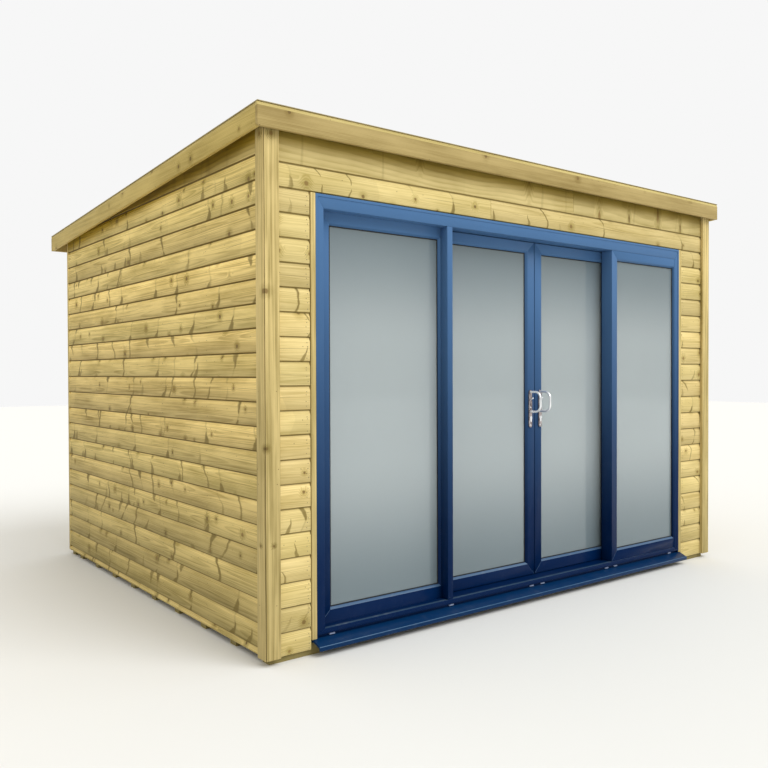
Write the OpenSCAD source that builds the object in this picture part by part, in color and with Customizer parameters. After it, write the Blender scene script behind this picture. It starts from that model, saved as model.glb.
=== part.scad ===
// Garden office pod: a timber garden room with a pent roof, shiplap walls and a
// four-panel patio door. The front faces -Y, +Z is up, and the ground is at Z = 0.

/* [Body] */
// Width over the front corner boards
body_w = 3576; // [3300:1:3900]
// Depth from the front corner boards to the back corner boards
body_d = 2953; // [2700:1:3300]
// Thickness of a wall, cladding included
wall_t = 110; // [90:1:140]
// Thickness of the shiplap cladding
clad_t = 16; // [12:1:22]
// Height of the cladding's bottom edge above the ground
clad_bottom = 27; // [15:1:40]
// Thickness of the corner boards
trim_t = 20; // [15:1:28]
// Width of the corner boards
trim_w = 78; // [60:1:100]
// Height of the corner boards' bottom ends above the ground
trim_bottom = 30; // [10:1:40]

/* [Floor] */
// Height of a floor joist
joist_h = 55; // [45:1:70]
// Width of a floor joist
joist_w = 60; // [40:1:75]
// Distance between floor joists
joist_pitch = 333; // [300:1:360]
// Thickness of the floor boards
floor_t = 18; // [12:1:25]

/* [Roof] */
// Height of the roof's front edge above the ground
roof_top = 2500; // [2400:1:2600]
// Fall of the roof towards the back, in degrees
roof_fall = 3.14; // [2:0.01:5]
// Overhang of the fascia past the front corner boards
front_over = 34; // [20:1:60]
// Overhang of the fascia past the corner boards at each side
side_over = 48; // [30:1:80]
// Overhang of the fascia past the back corner boards
back_over = 146; // [80:1:200]
// Height of the fascia boards
fascia_h = 109; // [100:1:140]
// Thickness of the fascia boards
fascia_t = 20; // [15:1:25]
// Thickness of the roof boards
deck_t = 18; // [12:1:25]
// Thickness of the roof membrane
membrane_t = 3; // [2:0.5:5]
// Height of a rafter
rafter_h = 95; // [70:1:120]
// Thickness of a rafter
rafter_w = 45; // [38:1:63]
// Distance between rafters
rafter_pitch = 394; // [370:1:400]

/* [Door frame] */
// Width of the patio door's outer frame
frame_w = 2949; // [2900:1:2990]
// Height of the outer frame
frame_h = 2076; // [2000:1:2100]
// How far the frame's middle stands to the left of the building's middle
frame_off = 32.5; // [0:0.5:60]
// Depth of the outer frame from front to back
frame_d = 140; // [138:1:150]
// Face width of the frame's jambs
jamb_w = 46; // [40:1:60]
// Face height of the frame's head
head_h = 66; // [50:1:80]
// Height of the frame's sill
sill_h = 40; // [36:1:50]
// Width of the boards beside the frame
reveal_w = 27; // [20:1:35]
// How far the cill stands out from the cladding
cill_out = 55; // [40:1:90]

/* [Door panels] */
// Distance from the frame's left inner edge to the mullion
mullion_x = 776; // [770:1:784]
// Face width of the mullion
mullion_w = 37; // [30:1:40]
// Distance from the mullion's left edge to the fixed left glass's right edge, negative to the left
left_glass_gap = -9; // [-12:1:-5]
// Stile width of the fixed left panel
left_stile_w = 75; // [65:1:80]
// Width of the fixed right panel
right_fixed_w = 686; // [670:1:700]
// Stile width of the fixed right panel
right_stile_w = 62; // [55:1:66]
// Width of a sliding panel
slider_w = 715; // [705:1:716]
// Stile width of a sliding panel
slider_stile_w = 66.5; // [60:0.5:70]
// Distance from the frame's left inner edge to the middle of the meeting line
meeting_x = 1547; // [1545:1:1550]
// Height of the panels' top rails
top_rail_h = 62; // [50:1:70]
// Height of the panels' bottom rails
bottom_rail_h = 74; // [65:1:85]

/* [Pull handles] */
// Height of a handle's plate
plate_h = 220; // [190:1:250]
// Width of a handle's plate
plate_w = 25; // [24:1:34]
// Distance from the meeting line to the middle of a plate
plate_off = 42; // [40:1:44]
// Height of the plate's bottom end above the ground
plate_bottom = 990; // [900:1:1050]
// Height of the D-shaped pull, centre to centre
pull_h = 116; // [100:1:140]
// How far the pull's bar stands out from the panel
pull_out = 84; // [55:1:84]
// Thickness of the pull's bar
pull_d = 13; // [10:1:14]

/* [Hidden] */

$fn = 48;
wood_c = [0.80, 0.70, 0.42];
dark_wood_c = [0.62, 0.52, 0.30];
lining_c = [0.86, 0.80, 0.66];
membrane_c = [0.25, 0.26, 0.27];
blue_c = [0.10, 0.22, 0.48];
glass_c = [0.62, 0.70, 0.74, 0.5];
chrome_c = [0.88, 0.88, 0.90];
cover_c = [0.55, 0.60, 0.75];

// Planes of the body: the cladding's outer faces and the frame timber's outer faces
clad_l = -body_w / 2 + trim_t;
clad_r = body_w / 2 - trim_t;
total_d = cill_out + body_d - trim_t + back_over;
clad_f = -total_d / 2 + cill_out;
clad_b = clad_f + body_d - 2 * trim_t;
stud_l = clad_l + clad_t;
stud_r = clad_r - clad_t;
stud_f = clad_f + clad_t;
stud_b = clad_b - clad_t;
room_l = clad_l + wall_t;
room_r = clad_r - wall_t;
room_f = clad_f + wall_t;
room_b = clad_b - wall_t;
floor_z = joist_h + floor_t;
first_joist = 367;
rafter_count = 8;

// Planes of the roof
roof_l = -body_w / 2 - side_over;
roof_r = body_w / 2 + side_over;
roof_f = clad_f - trim_t - front_over;
roof_b = clad_b + trim_t + back_over;
trim_top_drop = 60;

// Planes of the door
frame_l = -frame_off - frame_w / 2;
frame_r = -frame_off + frame_w / 2;
frame_top = floor_z + frame_h;
in_l = frame_l + jamb_w;
in_r = frame_r - jamb_w;
in_bottom = floor_z + sill_h;
in_top = frame_top - head_h;
frame_front = clad_f;
frame_back = clad_f + frame_d;
lip = 15;
lip_t = 7;
lip_y = frame_back - lip_t;
reveal_proud = 3;
sill_foot = 15;
shadow_gap = 12;
mullion_l = in_l + mullion_x;
meeting = in_l + meeting_x;
meeting_gap = 6;
clear = 5;
fixed_left_r = mullion_l + left_glass_gap + left_stile_w;
fixed_right_l = in_r - right_fixed_w;
thin_bead = 8;
cill_horn = 20;
cill_seat = 90;
cill_t = 15;
cill_nose = 21;
nose_top = 50;
nose_t = 6;
nose_fall = 8;
cover_w = 30;
cover_h = 7;
cover_out = 9;
cover_up = 5;

// Front faces and thicknesses of the panels and of their glass, from the cladding's face
fixed_left_y = 55;
fixed_left_t = 27;
fixed_right_y = 2;
fixed_right_t = 40;
return_w = 24;
return_y = 82;
slider_y = 88;
slider_t = 40;
bead_w = 10;
bead_d = 13;
glass_in = 17;
thin_glass_t = 8;
unit_glass_t = 20;

// Details of a pull handle
plate_t = 8;
bend_r = 38;
pull_low = 93;
lock_up = 57;
lock_r = 8.5;
lock_lobe_w = 10;
lock_lobe_drop = 19.5;
lock_proud = 4;

// Height of the roof at a depth y, a given drop below its top surface
function roof_z(y, drop) = roof_top - (y - roof_f) * tan(roof_fall) - drop;
deck_under = membrane_t + deck_t;

// The boards and walls under a sloping layer stop just short of it
bed = 0.5;

// A block between two corners
module block(x0, x1, y0, y1, z0, z1) {
    translate([x0, y0, z0]) cube([x1 - x0, y1 - y0, z1 - z0]);
}

// A profile of depths and heights, drawn out along X
module along_x(x0, x1, profile) {
    translate([x0, 0, 0]) rotate([90, 0, 90]) linear_extrude(height = x1 - x0) polygon(profile);
}

// A profile of widths and heights, drawn out along Y
module along_y(y0, y1, profile) {
    translate([0, y1, 0]) rotate([90, 0, 0]) linear_extrude(height = y1 - y0) polygon(profile);
}

// A slab that stands up to the roof boards and follows their fall at its top
module under_roof(x0, x1, y0, y1, z0) {
    drop = deck_under + bed;
    along_x(x0, x1, [[y0, z0], [y1, z0], [y1, roof_z(y1, drop)], [y0, roof_z(y0, drop)]]);
}

// A slab that follows the roof's fall at its top and at its bottom
module roof_slab(x0, x1, y0, y1, top_drop, bottom_drop) {
    along_x(x0, x1, [[y0, roof_z(y0, bottom_drop)], [y1, roof_z(y1, bottom_drop)],
        [y1, roof_z(y1, top_drop)], [y0, roof_z(y0, top_drop)]]);
}

module floor_joists() {
    color(dark_wood_c) {
        block(stud_l, stud_r, stud_f, stud_f + joist_w, 0, joist_h);
        for (y = [clad_f + first_joist:joist_pitch:stud_b - 2 * joist_w])
            block(stud_l, stud_r, y - joist_w / 2, y + joist_w / 2, 0, joist_h);
        block(stud_l, stud_r, stud_b - joist_w, stud_b, 0, joist_h);
    }
}

module floor_deck() {
    color(lining_c) difference() {
        block(stud_l, stud_r, stud_f, stud_b, joist_h, floor_z);
        block(frame_l - reveal_w, frame_r + reveal_w, stud_f - 1, clad_f + cill_seat,
            joist_h - 1, floor_z + 1);
    }
}

module left_wall() {
    color(lining_c) under_roof(stud_l, room_l, room_f, room_b, floor_z);
}

module right_wall() {
    color(lining_c) under_roof(room_r, stud_r, room_f, room_b, floor_z);
}

module back_wall() {
    color(lining_c) under_roof(stud_l, stud_r, room_b, stud_b, floor_z);
}

module front_wall_left() {
    color(lining_c) block(stud_l, frame_l, stud_f, room_f, floor_z, frame_top);
}

module front_wall_right() {
    color(lining_c) block(frame_r, stud_r, stud_f, room_f, floor_z, frame_top);
}

module front_wall_top() {
    color(lining_c) under_roof(stud_l, stud_r, stud_f, room_f, frame_top);
}

module left_cladding() {
    color(wood_c) under_roof(clad_l, stud_l, stud_f, stud_b, clad_bottom);
}

module right_cladding() {
    color(wood_c) under_roof(stud_r, clad_r, stud_f, stud_b, clad_bottom);
}

module back_cladding() {
    color(wood_c) under_roof(clad_l, clad_r, stud_b, clad_b, clad_bottom);
}

module front_cladding_left() {
    color(wood_c) block(clad_l, frame_l - reveal_w, clad_f, stud_f, clad_bottom, frame_top);
}

module front_cladding_right() {
    color(wood_c) block(frame_r + reveal_w, clad_r, clad_f, stud_f, clad_bottom, frame_top);
}

module front_cladding_top() {
    color(wood_c) under_roof(clad_l, clad_r, clad_f, stud_f, frame_top);
}

// Plan of the board on the front of a corner, with its mitre, for the right-hand corner
module front_corner_plan() {
    polygon([[body_w / 2, clad_f - trim_t], [body_w / 2 - trim_w, clad_f - trim_t],
        [body_w / 2 - trim_w, clad_f], [clad_r, clad_f]]);
}

// Plan of the board on the side of a corner, with its mitre, for the right-hand corner
module side_corner_plan() {
    polygon([[body_w / 2, clad_f - trim_t], [clad_r, clad_f],
        [clad_r, clad_f - trim_t + trim_w], [body_w / 2, clad_f - trim_t + trim_w]]);
}

module front_corner_boards() {
    top = roof_z(clad_f, trim_top_drop);
    color(wood_c) for (side = [0, 1]) mirror([side, 0, 0])
        translate([0, 0, trim_bottom]) linear_extrude(height = top - trim_bottom) front_corner_plan();
}

module side_corner_boards() {
    top = roof_z(clad_f, trim_top_drop);
    color(wood_c) for (side = [0, 1]) mirror([side, 0, 0])
        translate([0, 0, trim_bottom]) linear_extrude(height = top - trim_bottom) side_corner_plan();
}

module back_corner_boards() {
    top = roof_z(clad_b, trim_top_drop);
    color(wood_c) for (side = [0, 1]) mirror([side, 0, 0])
        block(clad_r - trim_w, clad_r, clad_b, clad_b + trim_t, trim_bottom, top);
}

module door_reveal_boards() {
    color(wood_c) {
        block(frame_l - reveal_w, frame_l, clad_f - reveal_proud, stud_f, floor_z, frame_top);
        block(frame_r, frame_r + reveal_w, clad_f - reveal_proud, stud_f, floor_z, frame_top);
    }
}

module roof_rafters() {
    half = (rafter_count - 1) / 2;
    color(dark_wood_c) for (i = [-half:1:half])
        translate([i * rafter_pitch, 0, 0]) roof_slab(-rafter_w / 2, rafter_w / 2, room_f, room_b,
            deck_under + bed, deck_under + rafter_h);
}

module roof_deck() {
    color(wood_c) roof_slab(roof_l + fascia_t, roof_r - fascia_t, roof_f + fascia_t,
        roof_b - fascia_t, membrane_t + bed, deck_under);
}

module roof_membrane() {
    color(membrane_c) roof_slab(roof_l, roof_r, roof_f, roof_b, 0, membrane_t);
}

// A fascia board across the building, level at its bottom edge
module cross_fascia(y0, y1, low) {
    drop = membrane_t + bed;
    color(wood_c) along_x(roof_l, roof_r,
        [[y0, low], [y1, low], [y1, roof_z(y1, drop)], [y0, roof_z(y0, drop)]]);
}

module front_fascia() { cross_fascia(roof_f, roof_f + fascia_t, roof_z(roof_f, fascia_h)); }
module back_fascia() { cross_fascia(roof_b - fascia_t, roof_b, roof_z(roof_b, fascia_h)); }

module side_fascias() {
    color(wood_c) for (side = [0, 1]) mirror([side, 0, 0])
        roof_slab(roof_r - fascia_t, roof_r, roof_f + fascia_t, roof_b - fascia_t,
            membrane_t + bed, fascia_h);
}

module door_frame_head() {
    color(blue_c) {
        along_y(frame_front, lip_y, [[frame_l, frame_top], [frame_r, frame_top],
            [in_r, in_top], [in_l, in_top]]);
        along_y(lip_y, frame_back, [[frame_l, frame_top], [frame_r, frame_top],
            [in_r - lip, in_top - lip], [in_l + lip, in_top - lip]]);
    }
}

// The sill stands on a foot set back under its face, which leaves a shadow gap over the cill
module door_frame_sill() {
    color(blue_c) difference() {
        union() {
            along_y(frame_front, lip_y, [[frame_l, floor_z], [frame_r, floor_z],
                [in_r, in_bottom], [in_l, in_bottom]]);
            along_y(lip_y, frame_back, [[frame_l, floor_z], [frame_r, floor_z],
                [in_r - lip, in_bottom + lip], [in_l + lip, in_bottom + lip]]);
        }
        block(frame_l - 1, frame_r + 1, frame_front - 1, frame_front + shadow_gap,
            floor_z - 1, floor_z + sill_foot);
    }
}

// Profile of a jamb with its mitred ends, from its outer edge to its inner edge
function jamb_profile(outer, inner, top, bottom) =
    [[outer, floor_z], [inner, bottom], [inner, top], [outer, frame_top]];

module door_frame_jamb_left() {
    color(blue_c) {
        along_y(frame_front, lip_y, jamb_profile(frame_l, in_l, in_top, in_bottom));
        along_y(lip_y, frame_back,
            jamb_profile(frame_l, in_l + lip, in_top - lip, in_bottom + lip));
    }
}

module door_frame_jamb_right() {
    color(blue_c) {
        along_y(frame_front, lip_y, jamb_profile(frame_r, in_r, in_top, in_bottom));
        along_y(lip_y, frame_back,
            jamb_profile(frame_r, in_r - lip, in_top - lip, in_bottom + lip));
    }
}

module door_mullion() {
    color(blue_c) block(mullion_l, mullion_l + mullion_w, frame_front, clad_f + fixed_left_y,
        in_bottom, in_top);
}

// The cill's nose runs past the frame at both ends; its seat fits between the reveal boards
module door_cill() {
    nose = clad_f - cill_out;
    color(blue_c) {
        along_x(frame_l - cill_horn, frame_r + cill_horn, [[nose, nose_top - cill_nose],
            [nose, nose_top], [clad_f, floor_z], [clad_f, floor_z - cill_t],
            [nose + nose_t, nose_top - nose_fall], [nose + nose_t, nose_top - cill_nose]]);
        along_x(frame_l - cill_horn, frame_r + cill_horn, [[clad_f, floor_z - cill_t],
            [clad_f, floor_z], [clad_f + cill_seat, floor_z], [clad_f + cill_seat, floor_z - cill_t]]);
    }
}

// Small hoods over the frame's drain slots, in pairs where two panels meet
module drain_covers() {
    clear_w = in_r - in_l;
    fixed_x = clear_w - right_fixed_w;
    at = [28, mullion_x + 13, meeting_x - 132, meeting_x - 39, fixed_x - 63, fixed_x + 27,
        clear_w - 69];
    back = frame_front + shadow_gap;
    color(cover_c) for (x = at)
        block(in_l + x, in_l + x + cover_w, back - cover_out, back,
            floor_z + cover_up, floor_z + cover_up + cover_h);
}

// A cutter that widens a glass opening towards the front, which makes its sloped bead
module bead_cutter(x0, x1, y0, z0, z1) {
    over = 1;
    slope = bead_w / bead_d;
    w = bead_w + over * slope;
    intersection() {
        translate([0, 0, z0 - bead_w - 5]) linear_extrude(height = z1 - z0 + 2 * bead_w + 10)
            polygon([[x0 - w, y0 - over], [x1 + w, y0 - over], [x1, y0 + bead_d], [x0, y0 + bead_d]]);
        along_x(x0 - bead_w - 5, x1 + bead_w + 5, [[y0 - over, z0 - w], [y0 - over, z1 + w],
            [y0 + bead_d, z1], [y0 + bead_d, z0]]);
    }
}

// A glazed panel's surround, with a glass opening and its sloped bead
module panel(x0, x1, y0, t, z0, z1, left_w, right_w) {
    color(blue_c) difference() {
        block(x0, x1, y0, y0 + t, z0, z1);
        block(x0 + left_w, x1 - right_w, y0 - 1, y0 + t + 1, z0 + bottom_rail_h, z1 - top_rail_h);
        bead_cutter(x0 + left_w, x1 - right_w, y0, z0 + bottom_rail_h, z1 - top_rail_h);
    }
}

// The glass that fills a panel's opening
module pane(x0, x1, y0, t, z0, z1, left_w, right_w) {
    color(glass_c) block(x0 + left_w, x1 - right_w, y0 + glass_in, y0 + glass_in + t,
        z0 + bottom_rail_h, z1 - top_rail_h);
}

module fixed_panel_left() {
    panel(in_l, fixed_left_r, clad_f + fixed_left_y, fixed_left_t, in_bottom, in_top,
        left_stile_w, left_stile_w);
}

module fixed_glass_left() {
    pane(in_l, fixed_left_r, clad_f + fixed_left_y, thin_glass_t, in_bottom, in_top,
        left_stile_w, left_stile_w);
}

// The panel's left stile is deep: its return reaches back to the sliding panel behind it
module fixed_panel_right() {
    face = clad_f + fixed_right_y;
    x0 = fixed_right_l + right_stile_w;
    x1 = in_r - thin_bead;
    z0 = in_bottom + bottom_rail_h;
    z1 = in_top - top_rail_h;
    color(blue_c) {
        difference() {
            block(fixed_right_l, in_r, face, face + fixed_right_t, in_bottom, in_top);
            block(x0, x1, face - 1, face + fixed_right_t + 1, z0, z1);
            intersection() {
                bead_cutter(x0, x1, face, z0, z1);
                block(x0 - 2 * bead_w, x1, face - 2, face + bead_d,
                    z0 - 2 * bead_w, z1 + 2 * bead_w);
            }
        }
        block(fixed_right_l, fixed_right_l + return_w, face, clad_f + return_y, in_bottom, in_top);
    }
}

module fixed_glass_right() {
    pane(fixed_right_l, in_r, clad_f + fixed_right_y, unit_glass_t, in_bottom, in_top,
        right_stile_w, thin_bead);
}

module slider_frame(x0) {
    panel(x0, x0 + slider_w, clad_f + slider_y, slider_t, in_bottom + clear, in_top - clear,
        slider_stile_w, slider_stile_w);
}

module slider_glass(x0) {
    pane(x0, x0 + slider_w, clad_f + slider_y, unit_glass_t, in_bottom + clear, in_top - clear,
        slider_stile_w, slider_stile_w);
}

// A quarter bend of a bar, from the bar's direction up to its arm
module pull_bend(r, bend) {
    rotate([90, 0, -90]) rotate_extrude(angle = 90) translate([bend, 0]) circle(r = r);
}

// A D-shaped pull on a plate with rounded ends
module pull_handle(x) {
    face = clad_f + slider_y;
    r = pull_d / 2;
    low = plate_bottom + pull_low;
    high = low + pull_h;
    bar_y = face - pull_out;
    arm = pull_out - bend_r - plate_t + 1;
    color(chrome_c) {
        for (z = [plate_bottom + plate_w / 2, plate_bottom + plate_h - plate_w / 2])
            translate([x, face, z]) rotate([90, 0, 0]) cylinder(d = plate_w, h = plate_t);
        block(x - plate_w / 2, x + plate_w / 2, face - plate_t, face,
            plate_bottom + plate_w / 2, plate_bottom + plate_h - plate_w / 2);
        for (z = [low, high])
            translate([x, face - plate_t + 1, z]) rotate([90, 0, 0]) cylinder(r = r, h = arm);
        translate([x, bar_y, low + bend_r]) cylinder(r = r, h = pull_h - 2 * bend_r);
        translate([x, bar_y + bend_r, high - bend_r]) pull_bend(r, bend_r);
        translate([x, bar_y + bend_r, low + bend_r]) mirror([0, 0, 1]) pull_bend(r, bend_r);
    }
}

// The end of a panel's lock cylinder: a round barrel with a narrow lobe under it
module lock(x) {
    color(chrome_c) translate([x, clad_f + slider_y - plate_t, plate_bottom + lock_up])
        rotate([90, 0, 0]) {
            cylinder(r = lock_r, h = lock_proud);
            translate([-lock_lobe_w / 2, -lock_lobe_drop, 0])
                cube([lock_lobe_w, lock_lobe_drop, lock_proud]);
            translate([0, -lock_lobe_drop, 0]) cylinder(d = lock_lobe_w, h = lock_proud);
        }
}

module sliding_panel_left() { slider_frame(meeting - meeting_gap / 2 - slider_w); }
module sliding_glass_left() { slider_glass(meeting - meeting_gap / 2 - slider_w); }
module pull_handle_left() { pull_handle(meeting - plate_off); }
module lock_left() { lock(meeting - plate_off); }
module sliding_panel_right() { slider_frame(meeting + meeting_gap / 2); }
module sliding_glass_right() { slider_glass(meeting + meeting_gap / 2); }
module pull_handle_right() { pull_handle(meeting + plate_off); }
module lock_right() { lock(meeting + plate_off); }

floor_joists();
floor_deck();
left_wall();
right_wall();
back_wall();
front_wall_left();
front_wall_right();
front_wall_top();
left_cladding();
right_cladding();
back_cladding();
front_cladding_left();
front_cladding_right();
front_cladding_top();
front_corner_boards();
side_corner_boards();
back_corner_boards();
door_reveal_boards();
roof_rafters();
roof_deck();
roof_membrane();
front_fascia();
back_fascia();
side_fascias();
door_frame_head();
door_frame_sill();
door_frame_jamb_left();
door_frame_jamb_right();
door_mullion();
door_cill();
drain_covers();
fixed_panel_left();
fixed_glass_left();
fixed_panel_right();
fixed_glass_right();
sliding_panel_left();
sliding_glass_left();
pull_handle_left();
lock_left();
sliding_panel_right();
sliding_glass_right();
pull_handle_right();
lock_right();
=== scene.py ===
"""Garden office pod: a timber garden room with shiplap walls, a pent roof and a blue four-panel
patio door whose two middle panels slide apart. Lengths are in metres."""

import random
from collections import namedtuple
from math import radians, tan

import bmesh
import bpy
from mathutils import Matrix, Vector


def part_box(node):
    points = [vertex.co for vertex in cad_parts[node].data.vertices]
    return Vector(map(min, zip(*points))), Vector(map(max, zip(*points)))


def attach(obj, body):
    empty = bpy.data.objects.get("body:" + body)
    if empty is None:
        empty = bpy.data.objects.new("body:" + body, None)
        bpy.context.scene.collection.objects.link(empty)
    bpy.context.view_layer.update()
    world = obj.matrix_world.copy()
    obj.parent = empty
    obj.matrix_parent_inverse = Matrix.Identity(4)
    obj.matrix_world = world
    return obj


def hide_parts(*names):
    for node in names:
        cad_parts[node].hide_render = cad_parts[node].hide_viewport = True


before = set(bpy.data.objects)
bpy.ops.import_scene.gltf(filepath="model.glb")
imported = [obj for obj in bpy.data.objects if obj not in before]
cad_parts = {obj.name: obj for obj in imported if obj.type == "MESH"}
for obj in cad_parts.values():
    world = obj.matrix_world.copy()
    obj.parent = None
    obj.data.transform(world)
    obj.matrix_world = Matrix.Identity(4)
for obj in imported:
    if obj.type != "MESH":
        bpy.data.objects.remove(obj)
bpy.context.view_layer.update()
chance = random.Random(41)

# Planes of the building, read off the CAD nodes
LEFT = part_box("left_cladding")[0].x
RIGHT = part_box("right_cladding")[1].x
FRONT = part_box("front_cladding_left")[0].y
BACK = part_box("back_cladding")[1].y
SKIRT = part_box("left_cladding")[0].z
ROOF_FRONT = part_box("roof_membrane")[0].y
ROOF_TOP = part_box("roof_membrane")[1].z
ROOF_FALL = radians(3.14)
WALL_TOP_DROP = 0.0215     # From the roof's top down to the ends of the wall boards
OVER_ROOF = 2.6            # A height above the whole roof, where the boards are cut off
DOOR_LEFT, DOOR_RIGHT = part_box("door_frame_head")[0].x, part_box("door_frame_head")[1].x
DOOR_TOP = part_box("door_frame_head")[1].z
DOOR_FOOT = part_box("door_frame_sill")[0].z

# Shiplap boards
BOARD_COVER = 0.11213      # Height that one board covers
BOARD_T = 0.016            # Thickness
SIDE_LINE = 2.3034         # Height of the highest joint on the side and back walls
FRONT_LINE = 2.2636        # The same on the front wall
SCOOP_H = 0.019            # Height and depth of the scoop along a board's top
SCOOP_D = 0.0075
SLOT_H = 0.0042            # Height of the sloped slot under a board's lower edge
FACE_H = 0.112             # Height of a board in its grain map
TALL_BOARDS = 400          # Added to the numbers of boards that are cut taller than the rest
BACK_BOARDS = 200          # Added to the numbers of the back wall's boards
FRONT_IN, BACK_IN = FRONT + BOARD_T, BACK - BOARD_T
WIDTH, DEPTH = RIGHT - LEFT, BACK - FRONT - 2 * BOARD_T
STRIP_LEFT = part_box("front_cladding_left")[1].x      # Where the boards beside the door end
STRIP_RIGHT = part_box("front_cladding_right")[0].x
STRIP_TOP = FRONT_LINE - BOARD_COVER
QUARTER = radians(90)
NAIL_ROWS = (0.024, 0.078)                           # Heights of the nails in a board
FRONT_NAIL_ROWS = (0.022, 0.044, 0.068, 0.088)

# Roof trim and patio door
MITRE_GAP = 0.0022         # Open joint at the front corner boards
TOP_STRIP = 0.021          # Height of the strip along a fascia's top
STRIP_LEAN = 0.0045        # How far the strip's top edge leans back
BEAD_W = 0.010             # Width of the bead round a pane
PANELS = {
    "fixed_panel_left": ("fixed_glass_left", "building"),
    "fixed_panel_right": ("fixed_glass_right", "building"),
    "sliding_panel_left": ("sliding_glass_left", "left_slider"),
    "sliding_panel_right": ("sliding_glass_right", "right_slider"),
}

# Handles, with heights above the plate's foot
PLATE_T = 0.008
SCREW_HEIGHTS = (0.013, 0.118)
LEVER_HEIGHT = 0.158
LOCK_R = 0.0085

# Camera
CAMERA_AT = (-3.555, -4.6925, 1.3148)
CAMERA_TURN, CAMERA_TILT, CAMERA_ROLL = radians(-37.576), radians(89.2), radians(-0.176)


# ------------------------------ working with pieces

def deselect():
    """Leaves edit mode and deselects everything."""
    if bpy.context.mode != "OBJECT":
        bpy.ops.object.mode_set(mode="OBJECT")
    bpy.ops.object.select_all(action="DESELECT")


def take(*pieces):
    """Selects these pieces only and makes the first one active."""
    deselect()
    for piece in pieces:
        piece.select_set(True)
    bpy.context.view_layer.objects.active = pieces[0]
    return pieces[0]


def open_up(piece):
    """Opens a piece in edit mode with nothing selected."""
    take(piece)
    bpy.ops.object.mode_set(mode="EDIT")
    bpy.ops.mesh.select_mode(type="VERT")
    bpy.ops.mesh.select_all(action="DESELECT")


def close_up():
    """Goes back to object mode."""
    bpy.ops.object.mode_set(mode="OBJECT")


def pick(piece, kind, test):
    """In edit mode, selects only the vertices, edges or faces whose middle passes the test."""
    bpy.ops.mesh.select_mode(type={"verts": "VERT", "edges": "EDGE", "faces": "FACE"}[kind])
    bpy.ops.mesh.select_all(action="DESELECT")
    mesh = bmesh.from_edit_mesh(piece.data)
    for part in getattr(mesh, kind):
        if kind == "verts":
            chosen = test(part.co)
        elif kind == "edges":
            a, b = part.verts
            chosen = test((a.co + b.co) / 2, (b.co - a.co).normalized())
        else:
            chosen = test(part.calc_center_median(), part.normal)
        if chosen:
            part.select_set(True)
    mesh.select_flush_mode()
    bmesh.update_edit_mesh(piece.data)


def add_block(name, low, high):
    """A block between two corners, with its place in its mesh, ready to be shaped."""
    deselect()
    low, high = Vector(low), Vector(high)
    bpy.ops.mesh.primitive_cube_add(size=1, location=(low + high) / 2, scale=high - low)
    bpy.ops.object.transform_apply(location=True, rotation=True, scale=True)
    block = bpy.context.object
    block.name = block.data.name = name
    return block


def apply_modifier(piece, kind, **settings):
    """Adds a modifier with these settings and applies it."""
    take(piece)
    modifier = piece.modifiers.new(kind.lower(), kind)
    for key, value in settings.items():
        setattr(modifier, key, value)
    bpy.ops.object.modifier_apply(modifier=modifier.name)


def ease(piece, width, steps=2, angle=30):
    """Rounds a piece's arrises and shades it smooth across them."""
    apply_modifier(piece, "BEVEL", width=width, segments=steps, limit_method="ANGLE",
                   angle_limit=radians(angle), harden_normals=False)
    take(piece)
    bpy.ops.object.shade_smooth_by_angle(angle=radians(40))


def copy_of(node, name):
    """A clean copy of a CAD node: one skin with its flat faces whole."""
    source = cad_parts[node]
    piece = source.copy()
    piece.data = source.data.copy()
    piece.parent = None
    for key in list(piece.keys()):
        del piece[key]
    bpy.context.scene.collection.objects.link(piece)
    piece.name = piece.data.name = name
    piece.data.materials.clear()
    open_up(piece)
    bpy.ops.mesh.select_all(action="SELECT")
    bpy.ops.mesh.remove_doubles(threshold=0.00002)
    bpy.ops.mesh.dissolve_limited(angle_limit=radians(0.5))
    bpy.ops.mesh.normals_make_consistent(inside=False)
    close_up()
    return piece


def copy_to(master, name, shift=(0, 0, 0), turn=0.0):
    """A copy of a small piece with its own mesh, turned about Z and then moved."""
    piece = master.copy()
    piece.data = master.data.copy()
    piece.name = name
    bpy.context.scene.collection.objects.link(piece)
    piece.data.transform(Matrix.Translation(shift) @ Matrix.Rotation(turn, 4, "Z"))
    return piece


def join(pieces, name):
    """Joins pieces into one with a new name."""
    whole = take(*pieces)
    if len(pieces) > 1:
        bpy.ops.object.join()
    whole.name = whole.data.name = name
    return whole


def discard(piece):
    """Throws away a master piece after its copies are made."""
    bpy.data.objects.remove(piece)


def paint_faces(piece, material, test):
    """Gives the faces that pass the test a material of their own."""
    piece.data.materials.append(material)
    for face in piece.data.polygons:
        if test(face.center, face.normal):
            face.material_index = len(piece.data.materials) - 1


def finish_piece(piece, body, slot, material, *nodes):
    """Paints a piece, puts it on its body and hides the CAD nodes it stands for."""
    piece.data.materials.clear()
    piece.data.materials.append(material)
    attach(piece, body)
    if nodes:
        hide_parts(*nodes)
    return piece


# ------------------------------ mixing materials

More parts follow.
